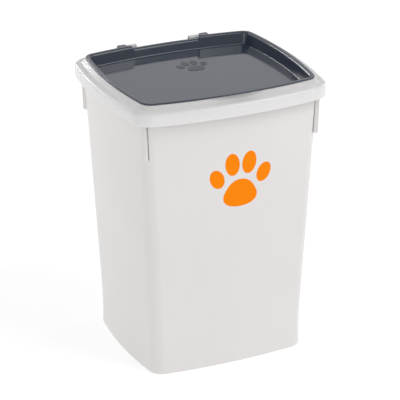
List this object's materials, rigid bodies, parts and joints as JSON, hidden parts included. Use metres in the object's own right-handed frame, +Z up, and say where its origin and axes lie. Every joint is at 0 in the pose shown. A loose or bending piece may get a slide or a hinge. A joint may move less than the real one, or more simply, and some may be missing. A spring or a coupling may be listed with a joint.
{
  "type": "pet food bin",
  "caption": "Tall tapered storage bin with bowed sides, a clip-on top collar with a finger scoop, and a tray-shaped hinged lid that seals in the collar's mouth.",
  "frame": {"origin": "middle of the footprint on the surface the bin stands on", "axes": "+Z up the bin, +Y from the front (finger scoop) to the hinge side, +X to the right seen from the front"},
  "size_m": [0.3122, 0.2784, 0.4215],
  "materials": {
    "tub_plastic": "light grey-white moulded plastic, satin",
    "collar_plastic": "slightly translucent white plastic, semi-gloss",
    "lid_plastic": "slate grey plastic, glossy",
    "seal_rubber": "soft grey seal, matte",
    "pin_plastic": "slate grey plastic, satin"
  },
  "bodies": {
    "bin": {"container_body": "tub_plastic", "top_collar": "collar_plastic", "hinge_pin_left": "pin_plastic", "hinge_pin_right": "pin_plastic"},
    "lid": {"lid": "lid_plastic", "lid_seal": "seal_rubber"}
  },
  "joints": [
    {"name": "lid_hinge", "type": "hinge", "parent": "bin", "child": "lid", "pos_m": [0, 0.1284, 0.4165], "axis": [-1, 0, 0], "range_deg": [0, 110]}
  ]
}
